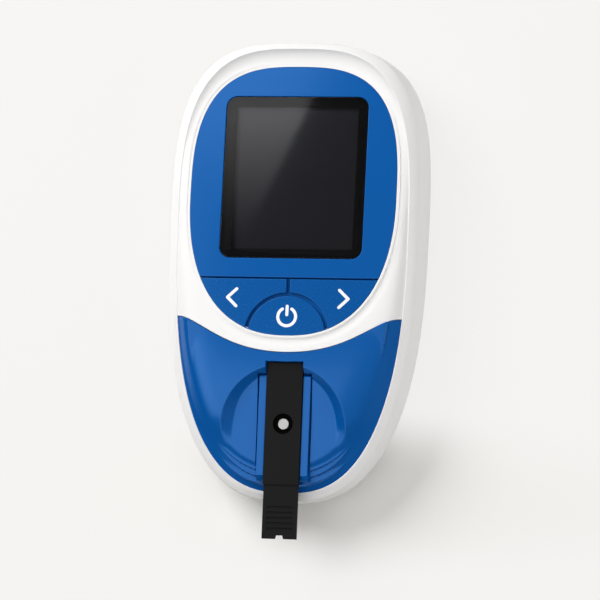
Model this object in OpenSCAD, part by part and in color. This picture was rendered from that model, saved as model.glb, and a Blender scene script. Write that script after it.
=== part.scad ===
/* [Body outline] */
// width of the body at its widest line
body_w = 76.8; // [72:0.2:82]
// height above the table where the front and rear shells meet
part_z = 10.5; // [9.5:0.1:11.5]
// half length from the widest line to the display end
end_up = 55.3; // [53:0.1:58]
// half length from the widest line to the strip end
end_down = 80.7; // [77:0.1:83]
// distance of the widest line from the middle of the body
belly_y = 18.5; // [15.9:0.1:20.9]
// squareness of the display end
square_up = 3.5; // [2.9:0.1:3.9]
// squareness of the strip end
square_down = 2.6; // [2.2:0.1:3]
// how far the side walls lean in from the widest line to the rim
side_lean = 1.5; // [0.8:0.1:2.4]

/* [Front face] */
// height of the display face above the table
face_z = 24; // [23.4:0.1:25]
// height of the rim above the display face at the display end
rim_rise = 2; // [1.2:0.1:2.6]
// fall of the rim for each millimetre toward the strip end
rim_slope = 0.062; // [0.055:0.001:0.07]
// extra fall of the rim at the very strip end
toe_drop = 2.7; // [1.5:0.1:3.2]
// depth of the hollow inside the rim
cove_dip = 0.9; // [0.3:0.1:1.4]
// half width of the oval that holds panel and keys
oval_half_w = 31.2; // [30:0.1:32.4]
// height of the oval's widest line along the body
oval_y = 27.7; // [25.9:0.1:29.9]
// reach of the oval toward the display end
oval_up = 38.7; // [37:0.1:40]
// reach of the oval toward the strip end
oval_down = 41.9; // [40:0.1:43]
// depth of the recess for panel and keys
recess_depth = 1.8; // [1.6:0.1:2.2]
// gap round the panel, the keys and the lower fascia in their seats
panel_gap = 0.15; // [0.1:0.05:0.3]

/* [Shells] */
// wall thickness of both shells at the meeting line
wall = 2.2; // [1.8:0.1:2.6]
// height of the outer back face above the table
back_z = 0.8; // [0.5:0.1:1.2]
// thickness of the back
back_t = 1.8; // [1.5:0.1:2.2]
// thickness of the ledge under the panel
ledge_t = 1.5; // [1.2:0.1:1.8]

/* [Display] */
// width of the lens
lens_w = 42.9; // [40:0.1:45]
// height of the lens along the body
lens_h = 48.4; // [46:0.1:50]
// position of the middle of the lens along the body
lens_y = 33.1; // [30.9:0.1:34.9]
// thickness of the lens
lens_t = 1.5; // [1.2:0.1:1.6]
// radius of the lens corners
lens_r = 3.3; // [1:0.1:4]
// width of the visible screen
view_w = 36.6; // [34:0.1:38]
// height of the visible screen along the body
view_h = 42.6; // [40:0.1:44]
// thickness of the adhesive frame under the lens
tape_t = 0.25; // [0.15:0.05:0.25]

/* [Keys] */
// position of the gap between panel and keys
split_y = 3.05; // [1.9:0.05:3.9]
// radius of the power key
power_r = 12.2; // [11:0.1:13]
// gap between neighbouring keys
key_gap = 1; // [0.5:0.05:1]
// gap between the panel and the arrow keys
split_gap = 0.4; // [0.3:0.05:0.6]
// thickness of the panel's skirt, which runs on under the keys
skirt_t = 0.4; // [0.3:0.05:0.5]
// travel of a key
key_travel = 0.35; // [0.2:0.05:0.4]
// depth of the white marks in the key caps
mark_depth = 0.4; // [0.3:0.05:0.6]
// width of the line the marks are drawn with
mark_line = 1; // [0.6:0.05:1.1]

/* [Strip tray] */
// tilt of the strip in degrees
strip_tilt = 2.93; // [2:0.01:4]
// top end of the strip along the body
strip_top_y = -22; // [-23.1:0.1:-21.5]
// drop of the strip's top face below the display face at its top end
strip_drop = 1.35; // [1:0.05:1.6]
// length of the strip
strip_l = 51.8; // [48:0.1:56]
// width of the strip
strip_w = 10.8; // [9.6:0.1:11.2]
// full thickness of the strip
strip_t = 1.5; // [1.3:0.1:1.7]
// thickness of the strip's cover layer
cover_t = 0.4; // [0.3:0.05:0.6]
// length of the cover layer
cover_l = 36; // [33:0.1:38]
// running gap between strip and guide
strip_gap = 0.1; // [0.05:0.01:0.1]
// radius of the dish round the strip
dish_r = 18.5; // [17:0.1:20]
// position of the middle of the dish
dish_y = -41.4; // [-42.6:0.1:-40.1]
// position of the sample hole
hole_y = -40.05; // [-41.1:0.05:-39.1]
// outer radius of the sample hole
hole_r = 3.05; // [2.6:0.05:3.4]
// width of one guide rail
rail_w = 2.3; // [1.8:0.1:2.8]
// depth of the dish floor below the strip's top face
floor_depth = 1.5; // [1.2:0.05:1.8]

/* [Batteries] */
// radius of a battery
cell_r = 5.25; // [5:0.05:5.25]
// length of a battery with its button
cell_l = 44.5; // [43:0.1:45]
// spacing of the batteries
cell_pitch = 10.9; // [10.7:0.1:11.1]
// lower inner end of the battery compartment
bay_y = -5.7; // [-7.1:0.1:-4.1]
// inner length of the battery compartment
bay_l = 51.2; // [50:0.1:52]
// thickness of the battery door
door_t = 1.4; // [1.2:0.1:1.5]
// gap round the battery door
door_gap = 0.35; // [0.3:0.05:0.5]

/* [Hidden] */
half_w = body_w / 2;
// by how much each millimetre of lean rounds the display end
lean_round = 0.29;
// number of points round the outlines
steps = 88;
// squareness of the oval above and below its widest line
oval_square_up = 2.9;
oval_square_down = 2.35;
// where the rim has its full height, and where its extra fall begins and has reached its full size
rim_ref_y = 73.6;
toe_y = -34.1;
toe_run = 27.7;
// where the hollow inside the rim begins, and the length over which it grows
cove_y = -8.1;
cove_run = 70;
// step from the rim down to the face inside it
rim_step = 0.35;
recess_z = face_z - recess_depth;
ledge_z = recess_z - ledge_t;
// thickness of a key cap, which leaves room below it for the travel
cap_t = recess_depth - skirt_t - key_travel - 0.1;
inner_back_z = back_z + back_t;
cell_z = inner_back_z + cell_r;
bay_half_w = 1.5 * cell_pitch + cell_r + 0.3;
bay_top = bay_y + bay_l;
// width of the rim's lip, and by how much the lower fascia reaches under its edge
lip = 2.2;
lip_under = 0.1;
// half width of the lower fascia at its upper corners
corner_x = half_w - 4.2;
corner_angle = 38.1;
// upper edge of the lower fascia: its middle, and the weights of its even powers toward the corners
fascia_top_y = -19.15;
fascia_curve = [10.9, 9.2, -9.35];
// tilted seat of the lower fascia: a point on it, its tilt, and the wall of the front shell below it
seat_ref_y = -8.1;
seat_ref_z = 18.5;
seat_tilt = 6.26;
seat_wall = 1.5;
// tray: middle and radius of its floor
floor_y = -28.6;
floor_r = 26;
// terraces in front of the floor: distance in from the rim, and depth below the strip
terraces = [[3.8, 2.5], [2, 3.4]];
// strip guide: thickness of its bed, and the open gap beside its rails
bed_t = 1.2;
slot_gap = 0.35;
guide_w = strip_w + 2 * strip_gap + 2 * rail_w;
guide_top = -25.7;
guide_end = -56.8;
bed_low = strip_t + strip_gap + bed_t;
// rails: how far they stay below the strip's top face, and the chamfer at their upper ends
rail_drop = 0.6;
rail_chamfer = 0.4;
// radii of the shell screws: shank, head and the posts round them
screw_r = 1.3;
screw_head_r = 2.6;
post_r = 3;
// height of the seat of the screws' heads, and how far the screws reach into the front shell
screw_seat_z = 4.4;
screw_grip = 5;
// places of the shell screws, upper pair and lower pair
screw_x = half_w - 10.9;
screw_xy = [[screw_x, 35.9], [-screw_x, 35.9], [screw_x - 1.5, -22.1], [1.5 - screw_x, -22.1]];
foot_r = 4;
foot_in = 0.6;
foot_xy = [[17, 55.9], [-17, 55.9], [12, -43.1], [-12, -43.1]];
// the screen's glass and the frame round it
glass_t = 1.8;
glass_w = view_w + 4;
glass_h = view_h + 7.4;
glass_y = lens_y - 0.2;
frame_wall = 1.7;
frame_floor = 1.3;
glass_low = glass_y - glass_h / 2;
glass_high = glass_y + glass_h / 2;
// gap round the lens in the panel's window, and how much wider than the screen the ledge is open
lens_gap = 0.1;
view_margin = 1;
// the main board, its thickness and the posts that it is screwed to
board_t = 1.6;
board_z = 14.2;
board_top = board_z + board_t;
board_half_w = screw_x - post_r - 0.3;
board_post_r = 2.1;
// radius of the board's screws
board_screw_r = 1;
board_low_y = -12.1;
board_high_y = glass_high + frame_wall + board_post_r + 0.8;
board_hole_x = board_half_w - 3.7;
board_hole_xy = [[board_hole_x, board_high_y], [-board_hole_x, board_high_y],
  [board_hole_x + 0.5, board_low_y], [-board_hole_x - 0.5, board_low_y]];
// places of the legs that hold the keys: two for each key
key_legs = [[-22, -1.1], [-9.5, -0.1], [22, -1.1], [9.5, -0.1], [-6.4, -8.7], [6.4, -8.7]];
// legs of the keys: half width, half thickness, length of the hook, and room round them
leg_half_w = 1.1;
leg_half_t = 0.6;
leg_hook = 2.2;
leg_gap = 0.5;
// posts that press the switches, and the holes that they pass
key_post_r = 1.5;
key_hole_r = 2.4;
// key switches: width, and the places of the three
switch_w = 6;
arrow_x = 16;
power_mark_y = -8.6;
switch_xy = [[-arrow_x, -3.1], [arrow_x, -3.1], [0, power_mark_y + 0.5]];
switch_top = face_z - cap_t - 3.1;
cell_x = [for (i = [-1.5:1:1.5]) i * cell_pitch];
// the rear shell's tongue inside the front shell: its height, thickness and gap
tongue_h = 0.8;
tongue_t = 1.1;
tongue_gap = 0.1;
// free length of the battery springs
spring_l = 4.6;
// battery door: hinge barrels, and the bead that clicks in opposite them
hinge_z = 1.65;
hinge_r = 0.7;
hinge_x = 12.5;
hinge_l = 7.4;
bead_z = 1.9;
bead_r = 0.4;
bead_l = 9.2;
// room between the door's plate and its hinge, and the finger grooves on the plate
hinge_room = 0.55;
door_groove_pitch = 1.6;
// wall round the battery compartment
bay_wall = 1.4;
buzzer_y = 56.9;
buzzer_r = 6.5;
buzzer_low = inner_back_z - 0.2;
power_y = oval_y - oval_down + 0.1;
arrow_y = -3.05;
// arrow signs: reach of the tip and of the tails from their middle, and half height
arrow_tip = 2.2;
arrow_tail = 0.5;
arrow_rise = 2.55;

// radius of a squared oval at one angle, with its own length above and below
function egg_radius(a, w, up, down, su, sd) =
  let (b = sin(a) >= 0 ? up : down, n = sin(a) >= 0 ? su : sd)
  pow(pow(abs(cos(a)) / w, n) + pow(abs(sin(a)) / b, n), -1 / n);

// step angle turned so that points crowd at the tighter ends
function spread(a, w, up, down) = atan2((sin(a) >= 0 ? up : down) * sin(a), w * cos(a));

// a point of the body outline, leaned in and offset from the widest line
function body_point(step_a, lean = 0, off = 0) =
  let (a = spread(step_a, half_w, end_up, end_down),
    r = egg_radius(a, half_w - lean + off, end_up - 0.2 * lean + off,
      end_down - 0.2 * lean + off, square_up - lean_round * lean, square_down))
  [r * cos(a), belly_y + r * sin(a)];

// a point of the oval that holds panel and keys
function oval_point(step_a, off = 0) =
  let (a = spread(step_a, oval_half_w, oval_up, oval_down),
    r = egg_radius(a, oval_half_w + off, oval_up + off, oval_down + off, oval_square_up,
      oval_square_down))
  [r * cos(a), oval_y + r * sin(a)];

// height of the rim at one place along the body
function rim_z(y) = face_z + rim_rise - rim_slope * (rim_ref_y - y)
  - (y < toe_y ? toe_drop * pow((toe_y - y) / toe_run, 2) : 0);

// how far out a point lies: 1 on the squared oval, less inside it
function reach(x, y, w, up, down, su, sd) =
  let (b = y >= 0 ? up : down, n = y >= 0 ? su : sd)
  pow(pow(abs(x) / w, n) + pow(abs(y) / b, n), 1 / n);

// height of the front face at one point between the oval and the rim
function front_z(x, y) =
  let (go = max(1, reach(x, y - oval_y, oval_half_w, oval_up, oval_down, oval_square_up, oval_square_down)),
    e = side_lean + lip,
    ge = reach(x, y - belly_y, half_w - e, end_up - 0.2 * side_lean - lip,
      end_down - 0.2 * side_lean - lip, square_up - lean_round * side_lean, square_down),
    d_in = norm([x, y - oval_y]) * (1 - 1 / go),
    d_out = max(0, norm([x, y - belly_y]) * (1 / ge - 1)),
    s = d_in + d_out > 0 ? d_in / (d_in + d_out) : 0,
    ye = belly_y + (y - belly_y) / max(ge, 0.2),
    fall = rim_z(ye) - rim_step - face_z,
    k = min(1, max(0, (ye - cove_y) / cove_run)),
    side = pow(cos(atan2(y - belly_y, abs(x))), 2),
    p = (2.6 + 2 * side) * (1 - k) + 3.4 * k)
  face_z + fall * pow(s, p) - cove_dip * k * (pow(s, 0.8) - pow(s, 3.4));

// rings of the front shell's side wall: share of the lean, offset and share of the height
wall_rings = [[0, 0, 0], [0.143, 0, 0.3], [0.429, 0, 0.6], [0.762, 0, 0.84], [0.976, -0.05, 0.94],
  [1, -0.5, 0.985], [1, -1.15, 1], [1, -1.8, 0.985]];
face_shares = [1, 0.93, 0.82, 0.68, 0.5, 0.3, 0.12, 0];

// all rings of the front dome, from the meeting line up the wall and in to the oval
function dome_ring(k) = k < len(wall_rings)
  ? [for (i = [0:steps - 1]) let (a = 360 * i / steps, w = wall_rings[k],
      q = body_point(a, side_lean * w[0], w[1])) [q[0], q[1], part_z + (rim_z(q[1]) - part_z) * w[2]]]
  : [for (i = [0:steps - 1]) let (a = 360 * i / steps, s = face_shares[k - len(wall_rings)],
      e = body_point(a, side_lean, -lip), o = oval_point(a), q = o + (e - o) * s)
      [q[0], q[1], s == 0 ? face_z : front_z(q[0], q[1])]];

// a closed solid from a stack of rings with the same number of points
module ring_solid(rings) {
  n = len(rings[0]);
  m = len(rings);
  polyhedron(points = [for (r = rings) for (q = r) q],
    faces = concat([[for (i = [0:n - 1]) i]],
      [[for (i = [n - 1:-1:0]) (m - 1) * n + i]],
      [for (k = [0:m - 2]) for (i = [0:n - 1]) let (j = (i + 1) % n)
        each [[k * n + j, k * n + i, (k + 1) * n + i],
          [k * n + j, (k + 1) * n + i, (k + 1) * n + j]]]), convexity = 6);
}

module body_prism(off, z0, z1, lean = 0)
  translate([0, 0, z0]) linear_extrude(height = z1 - z0)
    polygon([for (i = [0:steps - 1]) body_point(360 * i / steps, lean, off)]);

module oval_flat(off) polygon([for (i = [0:steps - 1]) oval_point(360 * i / steps, off)]);

module rounded_flat(w, h, r)
  union() {
    square([w - 2 * r, h], center = true);
    square([w, h - 2 * r], center = true);
    for (x = [-1, 1], y = [-1, 1]) translate([x * (w / 2 - r), y * (h / 2 - r)]) circle(r = r, $fn = 48);
  }

module box(x0, x1, y0, y1, z0, z1) translate([x0, y0, z0]) cube([x1 - x0, y1 - y0, z1 - z0]);

module post(x, y, z0, z1, r) translate([x, y, z0]) cylinder(r = r, h = z1 - z0, $fn = 48);

// things drawn flat in the strip's own plane: z counts from the strip's top face
module on_strip()
  translate([0, strip_top_y, face_z - strip_drop]) rotate([strip_tilt, 0, 0])
    translate([0, -strip_top_y, 0]) children();

// space below the tilted seat of the lower fascia, dropped by d
module under_seat(d = 0)
  translate([0, seat_ref_y, seat_ref_z - d]) rotate([seat_tilt, 0, 0])
    translate([-60, -80, -40]) cube([120, 110, 40]);

// height of the tilted seat of the lower fascia
function seat_z(y) = seat_ref_z + (y - seat_ref_y) * tan(seat_tilt);

// upper edge of the lower fascia
function fascia_edge_y(x) = let (v = pow(x / corner_x, 2))
  fascia_top_y + fascia_curve[0] * v + fascia_curve[1] * v * v + fascia_curve[2] * v * v * v;

// a point of the lower fascia's plan: u runs across, v from upper edge to rim
function fascia_plan(u, v, grow) =
  let (c = atan(tan(corner_angle) * half_w / end_down), x = corner_x * u, t = [x, fascia_edge_y(x) + grow],
    e = body_point(270 + (90 - c) * u, side_lean, lip_under - lip + grow))
  t + (e - t) * v;
fascia_cols = 44;
function fascia_u(i) = 0.99 * sin(90 * (2 * i / fascia_cols - 1));
module fascia_flat(grow) polygon(concat(
  [for (i = [0:fascia_cols]) fascia_plan(fascia_u(i), 0, grow)],
  [for (i = [fascia_cols:-1:0]) fascia_plan(fascia_u(i), 1, grow)]));

// the solid under the whole front surface, down to the meeting line
module dome() ring_solid([for (k = [0:len(wall_rings) + len(face_shares) - 1]) dome_ring(k)]);

// room inside the front shell, below the ledge and below the fascia's seat
module front_room() {
  intersection() {
    body_prism(-wall, part_z - 1, ledge_z);
    box(-60, 60, -6.1, 90, 0, 60);
  }
  box(-16, 16, -13.7, -6, part_z - 1, ledge_z);
  intersection() {
    body_prism(-wall, part_z - 1, ledge_z);
    box(-60, 60, -90, -6.05, 0, 60);
    under_seat(seat_wall);
  }
}

// holes in the ledge and in the panel's skirt for the legs and posts of the keys
module key_holes() {
  leg_hole = leg_half_w + leg_gap;
  for (q = switch_xy) post(q[0], q[1], ledge_z - 1, 30, key_hole_r);
  for (q = key_legs)
    box(q[0] - leg_hole, q[0] + leg_hole, q[1] - leg_hole + 0.1, q[1] + leg_hole - 0.1, ledge_z - 1, 30);
}

module front_shell() color("white") {
  difference() {
    union() {
      difference() {
        dome();
        front_room();
      }
      for (q = screw_xy) post(q[0], q[1], part_z, q[1] > 0 ? ledge_z + 0.3 : seat_z(q[1]) - 1.2, post_r);
      for (q = board_hole_xy)
        post(q[0], q[1], board_top, q[1] > 0 ? ledge_z + 0.3 : seat_z(q[1]) - 1.2, board_post_r);
    }
    translate([0, 0, recess_z]) linear_extrude(height = 6) oval_flat(panel_gap);
    difference() {
      linear_extrude(height = 40) fascia_flat(panel_gap);
      under_seat();
    }
    translate([0, lens_y, ledge_z - 1]) linear_extrude(height = 9)
      square([view_w + 2 * view_margin, view_h + 2 * view_margin], center = true);
    key_holes();
    post(0, hole_y, part_z - 2, 30, 13);
    for (q = screw_xy) post(q[0], q[1], part_z - 1, part_z + screw_grip + 0.2, screw_r);
    for (q = board_hole_xy) post(q[0], q[1], board_top - 1, board_top + (q[1] > 0 ? 4 : 1.2), board_screw_r);
  }
}

// the block that the battery compartment is cut into
module bay_block(z0, z1)
  box(-bay_half_w - bay_wall, bay_half_w + bay_wall, bay_y - 1.8, bay_top + 1.8, z0, z1);

// a bar across the body, its axis at one place along the body and one height
module barrel(x, y, z, r, l)
  translate([x - l / 2, y, z]) rotate([0, 90, 0]) cylinder(r = r, h = l, $fn = 32);

// offset and height above the back of the rings of the rear shell, from the meeting line down
back_rings = [[0, part_z - back_z], [-0.25, 6.6], [-1.7, 3.6], [-4, 1.7], [-6.6, 0.5], [-10, 0]];

module rear_shell() color("white") {
  difference() {
    union() {
      difference() {
        ring_solid([for (k = [len(back_rings) - 1:-1:0]) [for (i = [0:steps - 1])
          let (q = body_point(360 * i / steps, 0, back_rings[k][0]))
          [q[0], q[1], back_z + back_rings[k][1]]]]);
        body_prism(-wall - 4.4, inner_back_z, back_z + 3.8);
        body_prism(-wall - 1.7, back_z + 3.7, back_z + 5.8);
        body_prism(-wall, back_z + 5.7, part_z + 1);
      }
      difference() {
        union() {
          body_prism(-wall + 0.4, part_z - 2.6, part_z - 0.4);
          body_prism(-wall - tongue_gap, part_z - 0.5, part_z + tongue_h);
        }
        body_prism(-wall - tongue_gap - tongue_t, part_z - 3, part_z + 2);
      }
      bay_block(back_z + 0.2, board_z - 0.3);
      for (q = screw_xy) {
        post(q[0], q[1], back_z + 0.8, screw_seat_z + 1.2, screw_head_r + 1.4);
        post(q[0], q[1], screw_seat_z + 0.6, part_z, post_r);
      }
      for (x = [-optics_post, optics_post], y = [hole_y - optics_post, hole_y + optics_post])
        post(x, y, back_z + 0.8, optics_z, 2.4);
      post(0, buzzer_y, back_z + 0.8, inner_back_z + 0.2, buzzer_r + 0.9);
    }
    box(-bay_half_w, bay_half_w, bay_y, bay_top, -1, cell_z);
    for (x = cell_x)
      translate([x, bay_y, cell_z]) rotate([-90, 0, 0]) cylinder(r = cell_r, h = bay_l, $fn = 64);
    for (x = [-hinge_x, hinge_x]) {
      barrel(x, bay_y, hinge_z, hinge_r + 0.06, hinge_l + 0.6);
      box(x - hinge_l / 2 - 0.3, x + hinge_l / 2 + 0.3, bay_y - 0.45, bay_y + 0.1, -1, hinge_z - 0.3);
    }
    barrel(0, bay_top, bead_z, bead_r + 0.1, bead_l + 0.8);
    box(-6, 6, bay_top - 1, bay_top + 1.5, -1, 1.3);
    for (q = screw_xy) {
      post(q[0], q[1], -1, screw_seat_z, screw_head_r + 0.2);
      post(q[0], q[1], 0, part_z + 1, screw_r + 0.3);
    }
    for (q = foot_xy) post(q[0], q[1], -1, back_z + foot_in, foot_r);
    post(0, buzzer_y, buzzer_low, 8, buzzer_r + 0.05);
    for (x = [-3, 0, 3]) post(x, buzzer_y, -1, 6, 0.6);
    for (q = screw_xy) post(q[0], q[1], part_z - 0.01, part_z + 3, post_r + 0.1);
    bay_block(board_z - 0.3, board_z + 4);
  }
}

module display_panel() color("royalblue") translate([0, 0, recess_z])
  difference() {
    union() {
      linear_extrude(height = skirt_t) oval_flat(0);
      linear_extrude(height = recess_depth) intersection() {
        oval_flat(0);
        translate([-60, split_y]) square([120, 100]);
      }
    }
    translate([0, 0, -recess_z]) key_holes();
    translate([0, lens_y, -1]) linear_extrude(height = 9) 
      rounded_flat(lens_w + 2 * lens_gap, lens_h + 2 * lens_gap, lens_r);
  }

module display_lens() color([0.2, 0.2, 0.22, 0.5])
  translate([0, lens_y, recess_z + tape_t])
    linear_extrude(height = lens_t) rounded_flat(lens_w, lens_h, lens_r);

module lens_tape() color("black") translate([0, lens_y, recess_z])
  linear_extrude(height = tape_t) difference() {
    rounded_flat(lens_w, lens_h, lens_r);
    square([view_w, view_h], center = true);
  }

module lcd_glass() color("dimgray")
  box(-glass_w / 2, glass_w / 2, glass_low, glass_high, ledge_z - glass_t, ledge_z);

module lcd_frame() color("gray")
  difference() {
    box(-glass_w / 2 - frame_wall, glass_w / 2 + frame_wall, glass_low - frame_wall, glass_high + frame_wall,
      board_top, ledge_z);
    box(-glass_w / 2, glass_w / 2, glass_low, glass_high, board_top + frame_floor, ledge_z + 1);
    box(-glass_w / 2 + 2, glass_w / 2 - 2, glass_low + 2, glass_high - 2, board_top - 1, 30);
    box(-11, 11, glass_low - 3, glass_low + 3, ledge_z - glass_t - 0.4, ledge_z - glass_t + 0.4);
  }

module backlight() color("whitesmoke")
  box(-glass_w / 2, glass_w / 2, glass_low, glass_high, board_top + frame_floor, ledge_z - glass_t - 0.3);

module lcd_ribbon() color("goldenrod") translate([-8, 0, 0]) rotate([90, 0, 90])
  linear_extrude(height = 16) {
    z = ledge_z - glass_t;
    translate([glass_low - 3, z - 0.2]) square([4.5, 0.2]);
    translate([glass_low - 3.2, board_top]) square([0.2, z - board_top]);
  }

module main_board() color("darkgreen")
  difference() {
    box(-board_half_w, board_half_w, board_low_y - 3, board_high_y + 2.4, board_z, board_top);
    for (q = board_hole_xy) post(q[0], q[1], board_z - 1, board_top + 1, board_screw_r + 0.2);
  }

module board_chips() color("black") {
  box(-5, 5, lens_y - 7, lens_y + 3, board_top, board_top + 1.1);
  box(-14, -8, lens_y + 9, lens_y + 15, board_top, board_top + 1);
  box(6, 14, lens_y - 19, lens_y - 15, board_top, board_top + 0.9);
  box(7, 11, board_low_y - 0.9, board_low_y + 2.6, board_top, board_top + 1);
}

module buzzer() color("gold") post(0, buzzer_y, buzzer_low, buzzer_low + 2.6, buzzer_r);

module key_switches() color("silver")
  for (q = switch_xy) {
    translate([q[0] - switch_w / 2, q[1] - switch_w / 2, board_top]) cube([switch_w, switch_w, 2]);
    post(q[0], q[1], board_top + 1.5, switch_top, 1.6);
  }

module lower_fascia() color("royalblue")
  difference() {
    union() {
      intersection() {
        dome();
        linear_extrude(height = 40) fascia_flat(0);
      }
      intersection() {
        linear_extrude(height = 40) fascia_flat(0);
        on_strip() union() {
          translate([0, floor_y, -9]) cylinder(r = floor_r, h = 9 - floor_depth, $fn = 96);
          for (q = terraces) translate([0, 0, -9]) linear_extrude(height = 9 - q[1]) fascia_flat(-q[0]);
        }
      }
    }
    under_seat();
    on_strip() {
      translate([0, dish_y, -floor_depth]) cylinder(r1 = dish_r - 2.6, r2 = dish_r + 0.6, h = 3.2, $fn = 96);
      box(-strip_w / 2 - 0.4, strip_w / 2 + 0.4, dish_y, strip_top_y + 0.3, -floor_depth, 5);
      box(-guide_w / 2 - slot_gap, guide_w / 2 + slot_gap, guide_end - 9, guide_top + slot_gap, -bed_low, 6);
      translate([0, hole_y, -12]) cylinder(r = 12.5, h = 12 - bed_low, $fn = 64);
    }
  }

module strip_guide() color("royalblue") on_strip()
  difference() {
    union() {
      box(-guide_w / 2, guide_w / 2, guide_end, guide_top, -bed_low, -strip_t - strip_gap);
      for (s = [-1, 1]) translate([s * (guide_w - rail_w) / 2 - rail_w / 2, 0, 0]) rotate([90, 0, 90])
        linear_extrude(height = rail_w) polygon([[guide_end, -bed_low], [guide_top, -bed_low],
          [guide_top, -rail_drop - rail_chamfer], [guide_top - rail_chamfer, -rail_drop],
          [guide_end + 4 * rail_chamfer, -rail_drop], [guide_end, -rail_drop - 1]]);
    }
    translate([0, hole_y, -9]) rounded_box(window_w, window_w, 9);
  }

// side of the square window in the guide's bed
window_w = 7;
module rounded_box(w, d, h) linear_extrude(height = h) rounded_flat(w, d, 0.6);

module optical_window() color([0.8, 0.9, 1, 0.4]) on_strip()
  translate([0, hole_y, -bed_low]) rounded_box(window_w, window_w, bed_t);

// optics: height and half width of their board, half width of the block, and places of the light sources
optics_z = 9.2;
optics_top = optics_z + 1.2;
optics_half_w = 13;
optics_post = 9;
block_half_w = 8;
led_out = 5;
led_r = 1.5;
led_xy = [[-led_out, hole_y], [led_out, hole_y], [0, hole_y + led_out]];
diode_r = 2;
// top of the block, which stays half a millimetre under the tilted bed of the strip guide
block_top = face_z - strip_drop - bed_low + (hole_y - block_half_w - strip_top_y) * tan(strip_tilt) - 0.5;
module optics_block() color("black")
  difference() {
    box(-block_half_w, block_half_w, hole_y - block_half_w, hole_y + block_half_w, optics_top, block_top);
    post(0, hole_y, optics_top - 1, 40, diode_r);
    for (q = led_xy) post(q[0], q[1], optics_top - 1, 40, led_r);
  }

module optics_leds() color("ivory")
  for (q = led_xy) {
    post(q[0], q[1], optics_top, optics_top + 3.4, led_r);
    translate([q[0], q[1], optics_top + 3.4]) sphere(r = led_r, $fn = 32);
  }

module photodiode() color("dimgray") post(0, hole_y, optics_top, optics_top + 1.5, diode_r);

module optics_board() color("darkgreen")
  box(-optics_half_w, optics_half_w, hole_y - optics_half_w, hole_y + optics_half_w, optics_z, optics_top);

module optics_ribbon() color("goldenrod") translate([-5, 0, 0]) rotate([90, 0, 90])
  linear_extrude(height = 10) {
    y = hole_y + optics_half_w;
    y_end = board_low_y - 1;
    translate([y - 2, optics_top]) square([y_end - y + 2.2, 0.2]);
    translate([y_end, optics_top]) square([0.2, board_z - optics_top]);
  }

module battery(i) translate([cell_x[i], i % 2 == 0 ? bay_y + spring_l : bay_top - spring_l, cell_z])
  rotate([i % 2 == 0 ? -90 : 90, 0, 0]) {
    color("steelblue") cylinder(r = cell_r, h = cell_l - 1, $fn = 64);
    color("silver") cylinder(r = 1.9, h = cell_l, $fn = 32);
  }
module battery_1() battery(0);
module battery_2() battery(1);
module battery_3() battery(2);
module battery_4() battery(3);

// leaf springs at the flat ends of the batteries
module battery_springs() color("silver")
  for (i = [0:3]) translate([cell_x[i], i % 2 == 0 ? bay_y : bay_top, cell_z]) mirror([0, i % 2, 0])
    translate([-2.5, 0, 0]) rotate([90, 0, 90]) linear_extrude(height = 5)
      polygon([[0, -4], [0.35, -4], [0.35, -1.2], [spring_l, 0.9], [spring_l, 1.3], [0.6, 3.4], [0.35, 4],
        [0, 4], [0, 3.2], [spring_l - 0.7, 1.1], [0, -0.8]]);

// flat contacts at the button ends
module battery_contacts() color("silver")
  for (i = [0:3]) translate([cell_x[i], i % 2 == 0 ? bay_top : bay_y, cell_z]) mirror([0, 1 - i % 2, 0])
    box(-3, 3, 0, bay_l - spring_l - cell_l, -4, 4);

module battery_door() color("white")
  difference() {
    union() {
      box(-bay_half_w + door_gap, bay_half_w - door_gap, bay_y + door_gap + hinge_room,
        bay_top - door_gap, back_z, back_z + door_t);
      for (x = [-hinge_x, hinge_x]) {
        barrel(x, bay_y, hinge_z, hinge_r, hinge_l);
        box(x - hinge_l / 2, x + hinge_l / 2, bay_y, bay_y + 1.4, hinge_z - 0.4, hinge_z + 0.4);
      }
      barrel(0, bay_top - 0.05, bead_z, bead_r, bead_l);
      box(-bead_l / 2, bead_l / 2, bay_top - 0.6, bay_top - 0.1, bead_z - 0.3, bead_z + 0.3);
    }
    for (i = [0:4]) translate([-5, bay_top - 4 - door_groove_pitch * i, back_z - 1])
      cube([10, door_groove_pitch / 2, 1.4]);
  }

module rear_screws() color("silver")
  for (q = screw_xy) {
    post(q[0], q[1], screw_seat_z - 1.6, screw_seat_z, screw_head_r);
    post(q[0], q[1], screw_seat_z, part_z + screw_grip, screw_r);
  }

module board_screws() color("silver")
  for (q = board_hole_xy) {
    post(q[0], q[1], board_z - 1.3, board_z, 1.9);
    post(q[0], q[1], board_z, board_top + (q[1] > 0 ? 3.6 : 1), board_screw_r);
  }

module rubber_feet() color("dimgray")
  for (q = foot_xy) post(q[0], q[1], 0, back_z + foot_in, foot_r);

// a leg with a hook that holds a key under the ledge
module key_leg(x, y)
  union() {
    box(x - leg_half_w, x + leg_half_w, y - leg_half_t, y + leg_half_t, ledge_z - 1.6, face_z - cap_t);
    box(x - leg_half_w, x + leg_half_w, y, y + leg_hook, ledge_z - 1.6, ledge_z - 0.4);
  }

// a cap from a flat outline, with its legs and the post over its switch
module key_cap(legs, switch)
  union() {
    translate([0, 0, face_z - cap_t]) linear_extrude(height = cap_t) children(0);
    for (q = legs) key_leg(key_legs[q][0], key_legs[q][1]);
    post(switch_xy[switch][0], switch_xy[switch][1], switch_top + key_travel + 0.01,
      face_z - cap_t, key_post_r);
  }

module side_key_flat(s) difference() {
    intersection() {
      oval_flat(0);
      translate([s > 0 ? key_gap / 2 : -60, split_y - split_gap - 60]) square([60 - key_gap / 2, 60]);
    }
    translate([0, power_y]) circle(r = power_r + key_gap / 2, $fn = 96);
  }

module power_key_flat() intersection() {
    oval_flat(0);
    translate([0, power_y]) circle(r = power_r - key_gap / 2, $fn = 96);
  }

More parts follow.
